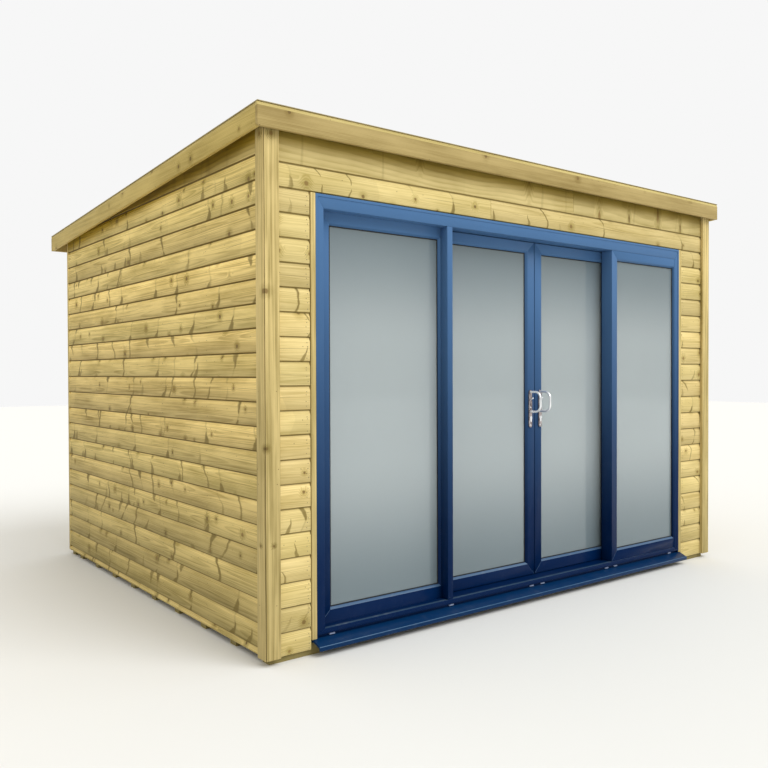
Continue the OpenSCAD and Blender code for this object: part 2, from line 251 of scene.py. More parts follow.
class Finish:
    """A material being mixed. Each method lays one node and returns its output."""

    def __init__(self, name):
        self.material = bpy.data.materials.new(name)
        self.material.use_nodes = True
        self.nodes = self.material.node_tree.nodes
        self.links = self.material.node_tree.links
        self.shader = self.nodes["Principled BSDF"]

    def feed(self, socket, value):
        """Links an output to a socket, or sets the socket to a plain value."""
        if isinstance(value, bpy.types.NodeSocket):
            self.links.new(value, socket)
        else:
            socket.default_value = value

    def node(self, kind, inputs=None, **settings):
        """Lays a shader node with these inputs and settings."""
        laid = self.nodes.new("ShaderNode" + kind)
        for key, value in settings.items():
            setattr(laid, key, value)
        for key, value in (inputs or {}).items():
            self.feed(laid.inputs[key], value)
        return laid

    def sum(self, how, a, b=0.0):
        """One sum on one or two values."""
        return self.node("Math", {0: a, 1: b}, operation=how).outputs[0]

    def plus(self, a, b):
        return self.sum("ADD", a, b)

    def minus(self, a, b):
        return self.sum("SUBTRACT", a, b)

    def times(self, a, b):
        return self.sum("MULTIPLY", a, b)

    def over(self, a, b):
        return self.sum("DIVIDE", a, b)

    def away(self, a, b):
        """How far apart two values are."""
        return self.sum("ABSOLUTE", self.minus(a, b))

    def swing(self, value, amount, middle=0.5):
        """How far a value is above or below its middle, times an amount."""
        return self.times(self.minus(value, middle), amount)

    def soft(self, value, start, end, low=0.0, high=1.0):
        """A soft step: low at start, high at end."""
        return self.node("MapRange", {"Value": value, "From Min": start, "From Max": end,
                                      "To Min": low, "To Max": high},
                         interpolation_type="SMOOTHSTEP").outputs[0]

    def point(self, x, y, z):
        return self.node("CombineXYZ", {0: x, 1: y, 2: z}).outputs[0]

    def noise(self, at, scale=1.0, detail=2.0, rough=0.5):
        return self.node("TexNoise", {"Vector": at, "Scale": scale, "Detail": detail,
                                      "Roughness": rough}).outputs[0]

    def cells(self, at, scale=1.0, **settings):
        """Scattered cells: the distance to each one's middle, and three random values of its own."""
        key = "W" if settings["voronoi_dimensions"] == "1D" else "Vector"
        laid = self.node("TexVoronoi", {key: at, "Scale": scale}, **settings)
        return laid.outputs["Distance"], self.parts(laid.outputs["Color"])

    def parts(self, colour):
        """A colour's three values."""
        return self.node("SeparateColor", {0: colour}).outputs

    def blend(self, amount, a, b, how="MIX"):
        return self.node("Mix", {0: amount, 6: a, 7: b}, data_type="RGBA",
                         blend_type=how).outputs[2]

    def place(self):
        """The piece's own coordinates, split in three."""
        return self.node("SeparateXYZ", {0: self.node("TexCoord").outputs["Object"]}).outputs

    def surface(self, colour=None, rough=None, bump=None, bump_strength=0.3, depth=0.001, **fixed):
        """Sets the shader's own sockets by name, links the rest, and returns the material."""
        for key, value in fixed.items():
            self.shader.inputs[key.replace("_", " ")].default_value = value
        if colour is not None:
            self.feed(self.shader.inputs["Base Color"], colour)
        if rough is not None:
            self.feed(self.shader.inputs["Roughness"], rough)
        if bump is not None:
            raised = self.node("Bump", {"Height": bump, "Strength": bump_strength,
                                        "Distance": depth})
            self.links.new(raised.outputs[0], self.shader.inputs["Normal"])
        return self.material


# ------------------------------ pine

TREATMENT_GREEN = (0.34, 0.35, 0.11, 1)
KNOT_DARK = (0.13, 0.075, 0.017, 1)
KNOT_PALE = (0.26, 0.16, 0.045, 1)
BRANCH_BROWN = (0.17, 0.118, 0.020, 1)
CRACK_BROWN = (0.12, 0.08, 0.02, 1)
PIN_BROWN = (0.10, 0.06, 0.016, 1)
GAP_SHADE_BROWN = (0.13, 0.085, 0.010, 1)
EAVES_SHADE_OLIVE = (0.56, 0.47, 0.07, 1)
RING_W = 0.0046
KNOT_CELLS = 5.2
PIN_CELLS = 12.0

# Where a point lies in its board: u along the grain, v up the board, w into it, row the board's
# number plus v, far a stretch of noise of the board's own, and girth the way round the board
Grain = namedtuple("Grain", "u v w row board far girth")


def find_grain(f, along, seed, x, y, z):
    """Reads the boards' own map for shiplap, and the piece's coordinates for other timber."""
    if along == "board":
        u, row, _ = f.node("SeparateXYZ", {0: f.node("UVMap", uv_map="grain").outputs[0]}).outputs
        board = f.sum("FLOOR", row)
        v, w = f.minus(row, board), 0.0
    else:
        u, v, w = {"X": (x, z, y), "Y": (y, z, x), "Z": (z, x, y)}[along]
        board, row = seed, f.plus(v, seed)
    return Grain(u, v, w, row, board, f.times(board, 3.7), f.plus(row, w))


def round_knots(f, g, plenty):
    """Round knots. Returns the knots, the grain that bends round them, and each one's darkness."""
    near, (width, there, darkness) = f.cells(f.point(f.plus(g.u, g.far), g.girth, 0.0), KNOT_CELLS,
                                             voronoi_dimensions="2D")
    ragged = f.swing(f.noise(f.point(g.u, g.row, g.w), 90.0, 2.0), 0.006)
    ratio = f.over(f.plus(f.over(near, KNOT_CELLS), ragged), f.plus(f.times(width, 0.007), 0.0055))
    here = f.soft(there, 0.62 - 0.2 * plenty, 0.64 - 0.2 * plenty)
    return (f.times(f.soft(ratio, 1.3, 0.65), here), f.times(f.soft(ratio, 4.2, 0.9), here),
            darkness)


def growth_rings(f, g, pith, halo):
    """The dark side of each ring round a pith that wanders along the board."""
    drift = f.noise(f.point(f.times(g.u, 0.8), f.times(g.v, 6.0), g.far), 1.0, 2.0)
    sway = f.noise(f.point(f.times(g.u, 0.6), f.plus(g.far, 8.0), g.w), 1.0, 1.0)
    across = f.plus(f.minus(g.v, f.times(pith, 0.1)), f.swing(drift, 0.045))
    inward = f.plus(f.plus(g.w, 0.025), f.times(sway, 0.05))
    radius = f.sum("SQRT", f.plus(f.times(across, across), f.times(inward, inward)))
    phase = f.sum("FRACT", f.plus(f.over(radius, RING_W), f.times(halo, 2.2)))
    return f.minus(f.soft(phase, 0.3, 0.9), f.soft(phase, 0.92, 1.0))


def whorls(f, g, lean, pitch, size, faint, clump, rare):
    """Marks where the tree's branches stood: a dark wedge in from one edge of the board, with a
    faint line through the rest of it. Returns the marks and each stretch's own tone."""
    wave = f.noise(f.point(f.times(g.girth, 16.0), g.far, f.times(g.u, 1.5)), 1.0, 2.0)
    middle = f.minus(g.v, FACE_H / 2)
    bow = f.plus(f.times(f.times(middle, middle), 6.0), f.times(middle, f.swing(lean, 1.3)))
    run = f.plus(f.over(f.plus(g.u, bow), pitch), f.plus(g.far, f.swing(wave, 0.035 / pitch)))
    _, (tone, root, reach) = f.cells(run, voronoi_dimensions="1D")
    edge = f.node("TexVoronoi", {"W": run, "Scale": 1.0}, voronoi_dimensions="1D",
                  feature="DISTANCE_TO_EDGE")
    gap = f.times(edge.outputs["Distance"], pitch)
    up = f.away(f.sum("GREATER_THAN", root, 0.6), f.over(g.v, FACE_H))
    taper = f.minus(1.0, f.over(up, f.plus(0.25, f.times(reach, 0.5))))
    taper = f.sum("SQRT", f.sum("MAXIMUM", taper, 0.0))
    wedge = f.soft(f.over(gap, f.plus(0.0008, f.times(taper, size))), 1.0, 0.4)
    wedge = f.times(wedge, f.soft(taper, 0.0, 0.45))
    line = f.times(f.soft(gap, 0.003 + 0.3 * size, 0.0), faint)
    there = f.noise(f.point(f.times(g.u, clump), g.far, 3.0), 1.0, 0.0)
    return f.times(f.sum("MAXIMUM", wedge, line), f.soft(there, rare, rare + 0.08)), tone


def branch_marks(f, g, lean, size):
    """Large whorls, and small ones that come in clumps; boards cut tall have fainter ones."""
    large, tone = whorls(f, g, lean, 0.5, 1.3 * size, 0.30, 2.4, 0.42)
    small, _ = whorls(f, g._replace(far=f.plus(g.far, 40.0)), lean, 0.30, 1.1 * size, 0.0, 0.9,
                      0.49)
    tall = f.sum("GREATER_THAN", g.board, TALL_BOARDS - 1)
    marks = f.sum("MAXIMUM", large, f.times(small, 0.85))
    return f.times(marks, f.minus(1.0, f.times(tall, 0.75))), tone


def pin_knots(f, g):
    """Dark dots where twigs grew."""
    near, luck = f.cells(f.point(f.minus(g.u, g.far), g.girth, 0.0), PIN_CELLS,
                         voronoi_dimensions="2D")
    return f.times(f.soft(near, 0.036, 0.02), f.soft(luck[1], 0.78, 0.8))


def drying_cracks(f, g):
    """Long thin cracks along the grain."""
    slow = f.noise(f.point(f.times(g.u, 1.3), g.far, 0.0), 1.0, 1.0)
    aside = f.away(g.v, f.plus(0.035, f.times(slow, 0.05)))
    there = f.noise(f.point(f.times(g.u, 2.0), g.far, 9.0), 1.0, 1.0)
    return f.times(f.soft(aside, 0.0011, 0.0004), f.soft(there, 0.52, 0.58))


def wood_darkness(f, g, late, halo, streaks):
    """How dark the wood is, from 0 to 1, and its fine fibre."""
    fibre = f.noise(f.point(f.times(g.u, 7.0), f.times(g.row, 260.0), f.times(g.w, 260.0)), 1.0,
                    3.0, 0.6)
    cloud = f.noise(f.point(f.times(g.u, 2.2), f.times(g.row, 9.0), g.w), 1.0, 3.0)
    streak = f.noise(f.point(f.times(g.u, 1.4), f.times(g.row, 75.0), f.times(g.w, 75.0)), 1.0,
                     2.0, 0.6)
    amount = f.plus(f.times(late, 0.34), f.swing(fibre, 0.6))
    amount = f.plus(amount, f.swing(streak, streaks))
    amount = f.plus(amount, f.swing(cloud, 1.5, 0.38))
    amount = f.plus(amount, f.times(halo, 0.45))
    return f.sum("MAXIMUM", f.sum("MINIMUM", amount, 1.0), 0.0), fibre


def painted_eaves_shade(f, y, z):
    """Painted shade on the walls under the roof's edge, by the drop below the roof."""
    slope = f.times(f.minus(y, ROOF_FRONT), tan(ROOF_FALL))
    eave_shade = f.soft(f.minus(ROOF_TOP, f.plus(z, slope)), 0.215, 0.105)
    return f.times(eave_shade, eave_shade)


def pine(name, along, pale, dark, seed=0.0, knots=1.0, height_tint=0.12, streaks=0.9, whorled=0.0,
         eaves=1.0, scoop=1.24, curve=0.74, groove=0.80):
    """Pressure-treated pine. along is the axis the grain runs on, or "board" for shiplap boards,
    whose own map holds the length, and the height plus the board's number. height_tint makes the
    wood darker towards the foot and paler towards the top, whorled is the branch marks' size, eaves
    the painted shade under the roof, scoop a painted highlight on a board's scooped top, curve
    painted shade towards each board's foot, and groove painted shade in the gaps between boards."""
    f = Finish(name)
    x, y, z = f.place()
    g = find_grain(f, along, seed, x, y, z)
    luck = f.node("TexWhiteNoise", {"W": g.board}, noise_dimensions="1D")
    tone, pith, green = f.parts(luck.outputs["Color"])
    knot, halo, knot_tone = round_knots(f, g, knots)
    late = growth_rings(f, g, pith, halo)
    marks, stretch_tone = branch_marks(f, g, pith, whorled) if whorled else (0.0, 0.5)
    crack = drying_cracks(f, g)
    amount, fibre = wood_darkness(f, g, late, halo, streaks)

    light = f.plus(f.plus(0.85, f.times(tone, 0.24)), f.swing(stretch_tone, 0.10))
    if along == "board":
        # Painted shade and highlight: each board darker towards its foot (curve), and its scooped top
        # paler (scoop)
        light = f.times(light, f.soft(g.v, 0.0, 0.080, curve, 1.04))
        light = f.times(light, f.soft(g.v, 0.088, 0.098, 1.0, scoop))
    # Darker towards the foot and paler towards the top, by height
    light = f.times(light, f.soft(z, 0.0, 2.3, 1.0 - height_tint, 1.0 + height_tint))
    colour = f.blend(amount, (*pale, 1), (*dark, 1))
    grey = f.node("CombineColor", {0: light, 1: light, 2: light}).outputs[0]
    colour = f.blend(1.0, colour, grey, "MULTIPLY")
    colour = f.blend(f.times(green, 0.18), colour, TREATMENT_GREEN)
    colour = f.blend(f.times(marks, 0.84), colour, BRANCH_BROWN)
    colour = f.blend(f.times(crack, 0.7), colour, CRACK_BROWN)
    colour = f.blend(f.times(pin_knots(f, g), 0.75), colour, PIN_BROWN)
    colour = f.blend(f.times(knot, 0.85), colour, f.blend(knot_tone, KNOT_DARK, KNOT_PALE))
    if along == "board":
        # Painted shade in the slot under each board and under the next board's edge
        gap = f.sum("MAXIMUM", f.soft(g.v, 0.0078, 0.0050), f.soft(g.v, 0.1095, 0.1130))
        colour = f.blend(f.times(gap, groove), colour, GAP_SHADE_BROWN)
    if whorled:
        # Painted shade under the roof's edge, multiplied in as a dark olive
        colour = f.blend(f.times(painted_eaves_shade(f, y, z), eaves), colour, EAVES_SHADE_OLIVE, "MULTIPLY")
    relief = f.minus(f.plus(f.times(late, 0.35), f.times(fibre, 0.5)), f.times(crack, 0.9))
    return f.surface(colour, f.plus(0.56, f.times(fibre, 0.22)), relief, 0.35, 0.0008,
                     Specular_IOR_Level=0.3)


# ------------------------------ other materials

DUST_GREY = (0.24, 0.25, 0.29, 1)
GLASS_DARK = (0.26, 0.335, 0.370, 1)
GLASS_REFLECTION_PALE = (0.63, 0.70, 0.72, 1)
STRIP_DARK = (0.30, 0.24, 0.115, 1)
STRIP_PALE = (0.42, 0.35, 0.180, 1)
SEAM_BROWN = (0.12, 0.09, 0.06, 1)
SHEET_W = 1.22         # Width of a plywood sheet
ROOF_LAP = 0.42        # Place of the lap in the roof's sheet, from the middle


def door_paint(name, foot, head, dust, gloss=0.07):
    """Smooth blue foil on the door's profiles, with painted sky light that makes it paler towards the
    top, and a fine grain and a little dust."""
    f = Finish(name)
    x, y, z = f.place()
    at = f.point(x, y, z)
    cloud = f.noise(at, 3.0, 3.0)
    grain = f.noise(at, 900.0, 2.0)
    # Painted sky light: from the foot colour to the paler head colour up the door, in soft clouds
    high = f.plus(f.soft(z, 0.2, 2.35), f.swing(cloud, 0.12))
    colour = f.blend(high, (*foot, 1), (*head, 1))
    specks = f.soft(f.noise(at, 14.0, 5.0, 0.65), 0.50, 0.8)
    colour = f.blend(f.times(specks, dust), colour, DUST_GREY)
    return f.surface(colour, f.plus(0.26, f.times(cloud, 0.12)), grain, 0.06, 0.0003,
                     Specular_IOR_Level=gloss)


def door_glass():
    """Grey-blue sealed units with a painted reflection of the daylight: paler in a band across their
    middle, in soft clouds.
    """
    f = Finish("door_glass_units")
    x, y, z = f.place()
    reflection_cloud = f.noise(f.point(x, y, f.times(z, 0.6)), 1.1, 2.0)
    # Painted reflection: paler across the middle of the panes, broken into clouds
    band = f.times(f.soft(z, 0.2, 0.9), f.soft(z, 2.05, 1.45))
    pale = f.plus(f.times(band, 0.85), f.times(reflection_cloud, 0.2))
    colour = f.blend(pale, GLASS_DARK, GLASS_REFLECTION_PALE)
    return f.surface(colour, f.plus(0.02, f.times(reflection_cloud, 0.04)), reflection_cloud, 0.02, 0.002, IOR=1.5,
                     Transmission_Weight=0.5)


def edge_strip(f, x, y):
    """Where the roof's pale edge strip covers its sheet."""
    low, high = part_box("roof_membrane")
    middle = (low.y + high.y) / 2
    in_x = f.minus(high.x, f.sum("ABSOLUTE", x))
    in_y = f.minus(high.y - middle, f.away(y, middle))
    return f.soft(f.sum("MINIMUM", in_x, in_y), 0.0165, 0.0150)


def rubber(name, tone, grit, on_roof=False):
    """Matt black rubber; the roof's sheet has a lap and is tucked under a pale edge strip."""
    f = Finish(name)
    x, y, z = f.place()
    at = f.point(x, y, z)
    cloud = f.noise(at, 1.7, 4.0, 0.6)
    specks = f.noise(at, 420.0, 2.0)
    colour = f.blend(cloud, (tone * 0.75, tone * 0.77, tone * 0.8, 1), (*[tone * 1.5] * 3, 1))
    colour = f.blend(f.times(f.soft(specks, 0.6, 0.75), 0.3), colour, (*[tone * 4] * 3, 1))
    relief = f.plus(cloud, f.times(specks, 0.2))
    if on_roof:
        lap = f.soft(f.away(x, ROOF_LAP), 0.006, 0.003)
        colour = f.blend(f.times(lap, 0.6), colour, (*[tone * 0.4] * 3, 1))
        relief = f.minus(relief, lap)
        colour = f.blend(edge_strip(f, x, y), colour, f.blend(cloud, STRIP_DARK, STRIP_PALE))
    return f.surface(colour, f.plus(0.6, f.times(cloud, 0.25)), relief, grit, 0.002)


def chrome(name, dull, bright, rough, metal=1.0):
    """Plated metal with faint smears."""
    f = Finish(name)
    x, y, z = f.place()
    smear = f.noise(f.point(f.times(x, 3.0), y, z), 40.0, 3.0)
    colour = f.blend(f.soft(smear, 0.3, 0.7), (*dull, 1), (*bright, 1))
    return f.surface(colour, f.plus(rough, f.times(smear, 0.12)), smear, 0.03, 0.0003,
                     Metallic=metal)


def speckled(name, dark, pale, scale, detail, rough, bump, depth, **fixed):
    """A plain finish with small clouds in its colour and its roughness."""
    f = Finish(name)
    x, y, z = f.place()
    cloud = f.noise(f.point(x, y, z), scale, detail)
    colour = f.blend(cloud, (*dark, 1), (*pale, 1))
    return f.surface(colour, f.plus(0.4, f.times(cloud, rough)), cloud, bump, depth, **fixed)


def lining(name, pale, dark, along="Z"):
    """Smooth plywood sheets inside, with a faint grain and a fine seam at each sheet's edge."""
    f = Finish(name)
    x, y, z = f.place()
    u, v = (z, f.plus(x, y)) if along == "Z" else (x, y)
    grain = f.noise(f.point(f.times(u, 1.2), f.times(v, 22.0), 0.0), 1.0, 4.0, 0.6)
    colour = f.blend(f.soft(grain, 0.3, 0.75), (*pale, 1), (*dark, 1))
    seam = f.soft(f.away(f.sum("FRACT", f.over(v, SHEET_W)), 0.5), 0.0018, 0.0008)
    colour = f.blend(f.times(seam, 0.7), colour, SEAM_BROWN)
    relief = f.minus(f.times(grain, 0.3), seam)
    return f.surface(colour, f.plus(0.5, f.times(grain, 0.2)), relief, 0.3, 0.001)


side_boards = pine("side_shiplap_pine", "board", (0.79, 0.60, 0.230), (0.30, 0.205, 0.036),
                   height_tint=0.20, streaks=1.3, whorled=0.030, curve=0.69, groove=0.92)
rear_boards = pine("rear_shiplap_pine", "board", (0.79, 0.60, 0.230), (0.34, 0.235, 0.048),
                   height_tint=0.12, streaks=1.2, whorled=0.012)
front_boards = pine("front_shiplap_pine", "board", (0.78, 0.615, 0.275), (0.42, 0.305, 0.085),
                    height_tint=0.02, streaks=0.6, whorled=0.014, eaves=0.85, scoop=1.0, curve=0.86,
                    groove=0.60)
corner_wood = pine("corner_board_pine", "Z", (0.66, 0.505, 0.215), (0.22, 0.150, 0.034), 5.0, 0.8,
                   0.14, 2.0)
front_fascia_wood = pine("front_fascia_pine", "X", (0.45, 0.340, 0.132), (0.24, 0.165, 0.042), 9.0,
                         0.9, 0.04, 1.1)
side_fascia_wood = pine("side_fascia_pine", "Y", (0.60, 0.445, 0.145), (0.30, 0.205, 0.040), 14.0,
                        0.9, 0.04, 1.1)
# Paler pine for the strips along the fascias' tops: a painted highlight on the leaned-back strip
strip_highlight_wood = pine("top_strip_pine", "X", (0.60, 0.475, 0.185), (0.38, 0.275, 0.080), 17.0, 0.3, 0.0,
                  0.8)
side_strip_highlight_wood = pine("side_top_strip_pine", "Y", (0.68, 0.520, 0.185), (0.40, 0.290, 0.070), 18.0,
                       0.3, 0.0, 0.8)
# Darker pine for the joists: painted shade under the floor
shaded_joist_wood = pine("joist_pine_shaded", "X", (0.27, 0.205, 0.075), (0.14, 0.10, 0.03), 21.0, 0.6, 0.0, 0.9)
rafter_wood = pine("rafter_pine", "Y", (0.60, 0.47, 0.24), (0.42, 0.30, 0.12), 25.0, 0.6, 0.0)
wall_lining = lining("wall_lining_ply", (0.72, 0.66, 0.55), (0.60, 0.53, 0.41))
floor_board = lining("floor_board_ply", (0.50, 0.40, 0.26), (0.36, 0.27, 0.16), "X")
deck_ply = lining("roof_board_ply", (0.55, 0.45, 0.27), (0.40, 0.31, 0.17), "X")
blue = door_paint("door_blue_foil", (0.0003, 0.012, 0.058), (0.074, 0.166, 0.335), 0.02)
# Paler copy of the door paint for the beads' upward slopes: a painted highlight, with some dust
blue_bead_dust_and_highlight = door_paint("door_blue_bead_dust_and_highlight", (0.055, 0.110, 0.200), (0.16, 0.26, 0.42), 0.25, 0.3)
# Paler copy of the door paint for the sill's front ledge: a painted highlight, with some dust
blue_ledge_dust_and_highlight = door_paint("door_blue_ledge_dust_and_highlight", (0.030, 0.062, 0.110), (0.10, 0.18, 0.30), 0.45, 0.2)
# Lighter copy of the door paint for the cill: painted light that lifts its shaded faces
blue_cill_lit = door_paint("door_blue_cill_lit", (0.0015, 0.024, 0.085), (0.074, 0.166, 0.335), 0.05, 0.12)
# Paler copy of the door paint for the cill's nose: a painted highlight along its rounded top edge
blue_nose_highlight = door_paint("door_blue_nose_highlight", (0.035, 0.105, 0.200), (0.20, 0.34, 0.52), 0.2, 0.3)
glass = door_glass()
membrane = rubber("roof_membrane_rubber", 0.16, 0.3, True)
gasket = rubber("gasket_rubber", 0.008, 0.1)
polished = chrome("polished_chrome", (0.88, 0.91, 0.95), (0.97, 0.98, 1.0), 0.12, 0.65)
# Darker, pinkish plates: a painted reflection of darker surroundings in their chrome
plate_chrome_painted_reflection = chrome("plate_chrome_painted_reflection", (0.20, 0.165, 0.175), (0.52, 0.46, 0.46), 0.10)
nail_metal = speckled("nail_steel", (0.07, 0.055, 0.03), (0.20, 0.17, 0.11), 300.0, 2.0, 0.3, 0.2,
                      0.0003, Metallic=0.4)
cover_plastic = speckled("drain_cover_plastic", (0.20, 0.25, 0.40), (0.34, 0.40, 0.56), 120.0, 3.0,
                         0.2, 0.1, 0.0004)


def paint_cad_nodes():
    """The CAD nodes that stay get their materials."""
    paints = {
        "left_wall": wall_lining, "right_wall": wall_lining, "back_wall": wall_lining,
        "front_wall_left": wall_lining, "front_wall_right": wall_lining,
        "front_wall_top": wall_lining, "floor_deck": floor_board, "floor_joists": shaded_joist_wood,
        "roof_rafters": rafter_wood, "roof_deck": deck_ply, "roof_membrane": membrane,
        "drain_covers": cover_plastic, "lock_left": polished, "lock_right": polished,
        "fixed_glass_left": glass, "fixed_glass_right": glass,
        "sliding_glass_left": glass, "sliding_glass_right": glass,
    }
    for node, material in paints.items():
        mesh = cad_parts[node].data
        mesh.materials.clear()
        mesh.materials.append(material)


# ------------------------------ shiplap walls

def make_board():
    """One shiplap board a metre long with its face at -Y: eased lower edge, flat face, and a
    scoop along its top where the next board's edge stands over it."""
    board = add_block("board", (0, 0, 0), (1, BOARD_T, BOARD_COVER))
    open_up(board)
    bpy.ops.mesh.select_all(action="SELECT")
    bpy.ops.mesh.bisect(plane_co=(0, 0, SLOT_H), plane_no=(0, 0, 1))
    pick(board, "verts", lambda c: c.z < 0.0005 and c.y < 0.001)
    bpy.ops.transform.translate(value=(0, 0.009, 0))
    start = BOARD_COVER - SCOOP_H
    steps = 5
    for i in range(steps):
        bpy.ops.mesh.select_all(action="SELECT")
        bpy.ops.mesh.bisect(plane_co=(0, 0, start + SCOOP_H * i / steps), plane_no=(0, 0, 1))
    for i in range(1, steps + 1):
        t = i / steps
        level = start + SCOOP_H * t
        pick(board, "verts", lambda c: abs(c.z - level) < 0.0005 and c.y < 0.001)
        bpy.ops.transform.translate(value=(0, SCOOP_D * (2 * t - t * t), 0))
    pick(board, "edges", lambda c, d: abs(c.z - SLOT_H) < 0.0005 and c.y < 0.0005 and abs(d.x) > 0.9)
    bpy.ops.mesh.bevel(offset=0.0022, segments=3)
    pick(board, "edges", lambda c, d: c.y < BOARD_T * 0.6 and (c.x < 0.0005 or c.x > 0.9995)
         and abs(d.x) < 0.1 and 0.008 < c.z < BOARD_COVER - 0.0005)
    bpy.ops.mesh.bevel(offset=0.0011, segments=1)
    close_up()
    bpy.ops.object.shade_smooth_by_angle(angle=radians(35))
    return board


def lay_board(master, start, end, low, high, number):
    """A copy of the board, cut to length and to height: short ones lose their foot, and tall ones
    are stretched above their face and have no scoop in their grain map."""
    board = master.copy()
    board.data = master.data.copy()
    bpy.context.scene.collection.objects.link(board)
    mesh = board.data
    tall = high - low > BOARD_COVER + 0.001
    for vert in mesh.vertices:
        x, y, z = vert.co
        x = start + x if x < 0.5 else end - (1 - x)
        vert.co = (x, y, low + z if z < 0.02 else high - BOARD_COVER + z)
    grain = mesh.uv_layers.new(name="grain")
    slide = chance.uniform(0, 40)
    number += TALL_BOARDS * tall
    for face in mesh.polygons:
        for i in face.loop_indices:
            c = mesh.vertices[mesh.loops[i].vertex_index].co
            run = c.y if abs(face.normal.x) > 0.7 else c.x
            rise = min(c.z - low, 0.08) if tall else c.z - (high - BOARD_COVER)
            grain.data[i].uv = (run + slide, number + 0.002 + rise)
    return board


def cut_lengths(length, shortest, longest):
    """Joint places along a course, at least the shortest board apart."""
    cuts, at = [0.0], 0.0
    while length - at > longest:
        at += chance.uniform(shortest, min(longest, length - at - shortest))
        cuts.append(at)
    return cuts + [length]


def lay_wall(master, name, node, origin, turn, stretch, line, lengths, material):
    """All the boards of one wall, course by course, cut off along the roof's fall. stretch is the
    wall's start and end, measured from origin, and its lowest and highest points. line is the
    highest joint, and lengths are the shortest and longest boards."""
    boards = []
    first = 1 + BACK_BOARDS * (node == "back_cladding")
    start, end, lowest, highest = stretch
    low, high = line, highest
    while high > lowest + 0.012:
        short = high - low < 0.06
        cuts = cut_lengths(end - start, *((0.28, 0.7) if short else lengths))
        for a, b in zip(cuts, cuts[1:]):
            slack = chance.uniform(0.0004, 0.0012)
            boards.append(lay_board(master, start + a + slack, start + b - slack, low, high,
                                    first + len(boards)))
        high = low
        low = max(low - BOARD_COVER, lowest)
    wall = join(boards, name)
    wall.data.transform(Matrix.Translation(origin) @ Matrix.Rotation(turn, 4, "Z"))
    open_up(wall)
    bpy.ops.mesh.select_all(action="SELECT")
    bpy.ops.mesh.bisect(plane_co=(0, ROOF_FRONT, ROOF_TOP - WALL_TOP_DROP),
                        plane_no=(0, tan(ROOF_FALL), 1), use_fill=True, clear_outer=True)
    close_up()
    return finish_piece(wall, "building", "pine_timber", material, node)


def make_nail():
    """A nail head with a dished middle, facing -Y."""
    deselect()
    bpy.ops.mesh.primitive_cylinder_add(vertices=7, radius=0.0019, depth=0.0012,
                                        rotation=(radians(90), 0, 0), location=(0, 0, 0))
    bpy.ops.object.transform_apply(location=True, rotation=True, scale=True)
    nail = bpy.context.object
    open_up(nail)
    pick(nail, "faces", lambda c, n: n.y < -0.9)
    bpy.ops.mesh.inset(thickness=0.0006, depth=-0.0003)
    close_up()
    return nail


def nail_wall(nail, name, origin, turn, columns, line, highest, rows=NAIL_ROWS):
    """Nails in columns up a wall, a little out of line. line is a joint between two boards, and
    highest tells how far up a column's nails go."""
    heads = []
    for column in columns:
        foot = line + 3 * BOARD_COVER
        while foot > SKIRT:
            foot -= BOARD_COVER
            for up in rows:
                z = foot + up + chance.uniform(-0.006, 0.006)
                if SKIRT < z < highest(column):
                    x = column + chance.uniform(-0.006, 0.006)
                    heads.append(copy_to(nail, "head", (x, -0.0002, z)))
    whole = join(heads, name)
    whole.data.transform(Matrix.Translation(origin) @ Matrix.Rotation(turn, 4, "Z"))
    return finish_piece(whole, "building", "handle_chrome", nail_metal)


def roof_height(y, drop):
    """Height of a point that lies this far below the roof's top."""
    return ROOF_TOP - (y - ROOF_FRONT) * tan(ROOF_FALL) - drop


def build_walls():
    """Boards on all four walls, with short ones beside the door and long ones over it."""
    board = make_board()
    side = (0, DEPTH, SKIRT, OVER_ROOF)
    lay_wall(board, "left_shiplap", "left_cladding", (LEFT, BACK_IN, 0), -QUARTER, side,
             SIDE_LINE, (0.9, 3.0), side_boards)
    lay_wall(board, "right_shiplap", "right_cladding", (RIGHT, FRONT_IN, 0), QUARTER, side,
             SIDE_LINE, (0.9, 3.0), rear_boards)
    lay_wall(board, "back_shiplap", "back_cladding", (RIGHT, BACK, 0), 2 * QUARTER,
             (0, WIDTH, SKIRT, OVER_ROOF), SIDE_LINE, (0.9, 2.4), rear_boards)
    lay_wall(board, "front_shiplap_left", "front_cladding_left", (LEFT, FRONT, 0), 0,
             (0, STRIP_LEFT - LEFT - 0.003, SKIRT, STRIP_TOP), STRIP_TOP - BOARD_COVER, (3, 4),
             front_boards)
    lay_wall(board, "front_shiplap_right", "front_cladding_right", (STRIP_RIGHT, FRONT, 0), 0,
             (0.003, RIGHT - STRIP_RIGHT, SKIRT, STRIP_TOP), STRIP_TOP - BOARD_COVER, (3, 4),
             front_boards)
    lay_wall(board, "front_shiplap_top", "front_cladding_top", (LEFT, FRONT, 0), 0,
             (0, WIDTH, DOOR_TOP + 0.001, OVER_ROOF), FRONT_LINE, (1.4, 3.2), front_boards)
    discard(board)


